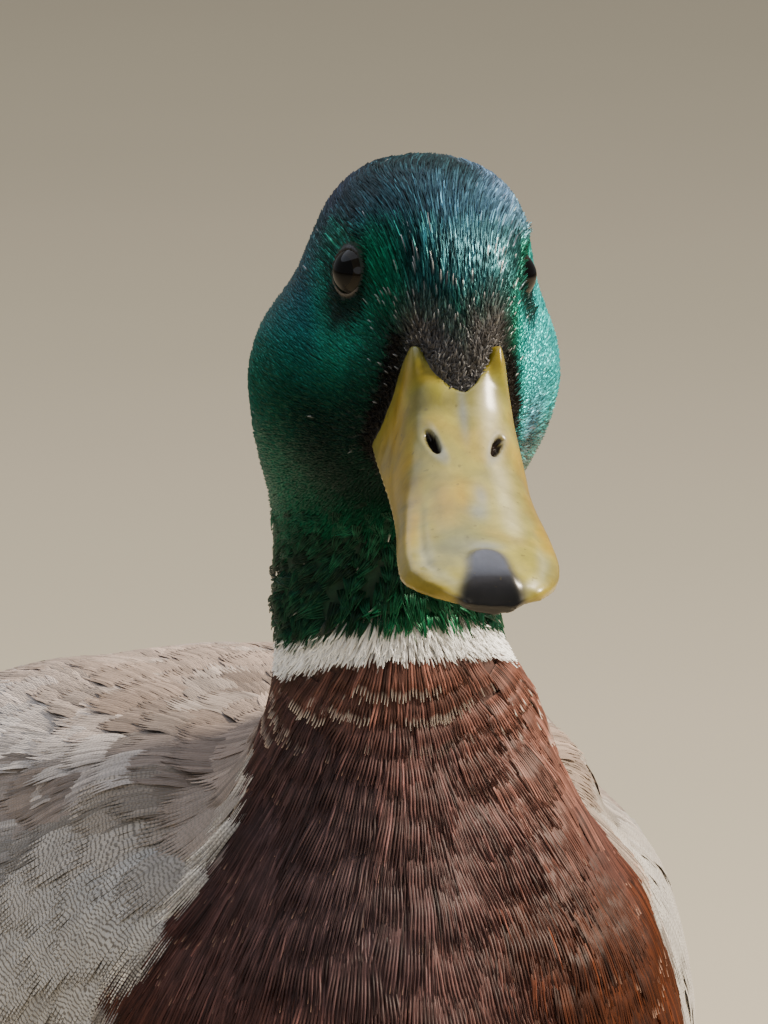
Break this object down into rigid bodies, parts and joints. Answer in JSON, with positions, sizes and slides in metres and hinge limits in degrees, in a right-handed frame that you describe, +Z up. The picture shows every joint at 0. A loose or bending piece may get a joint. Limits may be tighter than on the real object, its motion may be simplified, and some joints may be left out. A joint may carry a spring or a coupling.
{
  "type": "mallard duck",
  "caption": "Life-size mallard drake standing still on webbed feet, neck raised and head turned slightly to its right, with folded wings and curled plumes over the tail.",
  "frame": {"origin": "on the floor, under the middle of the bird's bounds", "axes": "-Y ahead of the body, towards the breast; +X the bird's left; +Z up"},
  "size_m": [0.1414, 0.4386, 0.3132],
  "materials": {
    "head_feathers": "glossy green plumage",
    "body_feathers": "soft plumage",
    "wing_feathers": "soft plumage",
    "flight_feathers": "smooth vanes",
    "rump_feathers": "glossy black plumage",
    "tail_feathers": "smooth vanes",
    "thigh_feathers": "soft plumage",
    "leg_skin": "scaled skin",
    "bill_horn": "satin horn",
    "eye": "wet and glossy"
  },
  "bodies": {
    "root": {"head": "head_feathers", "neck": "head_feathers", "trunk": "body_feathers", "tail": "rump_feathers", "tail_fan": "tail_feathers", "curl_left": "rump_feathers", "curl_right": "rump_feathers", "wing_left": "wing_feathers", "wing_right": "wing_feathers", "primaries_left": "flight_feathers", "primaries_right": "flight_feathers", "thigh_left": "thigh_feathers", "thigh_right": "thigh_feathers", "shank_left": "leg_skin", "shank_right": "leg_skin", "foot_left": "leg_skin", "foot_right": "leg_skin", "bill_upper": "bill_horn", "bill_lower": "bill_horn", "eye_left": "eye", "eye_right": "eye"}
  },
  "joints": []
}
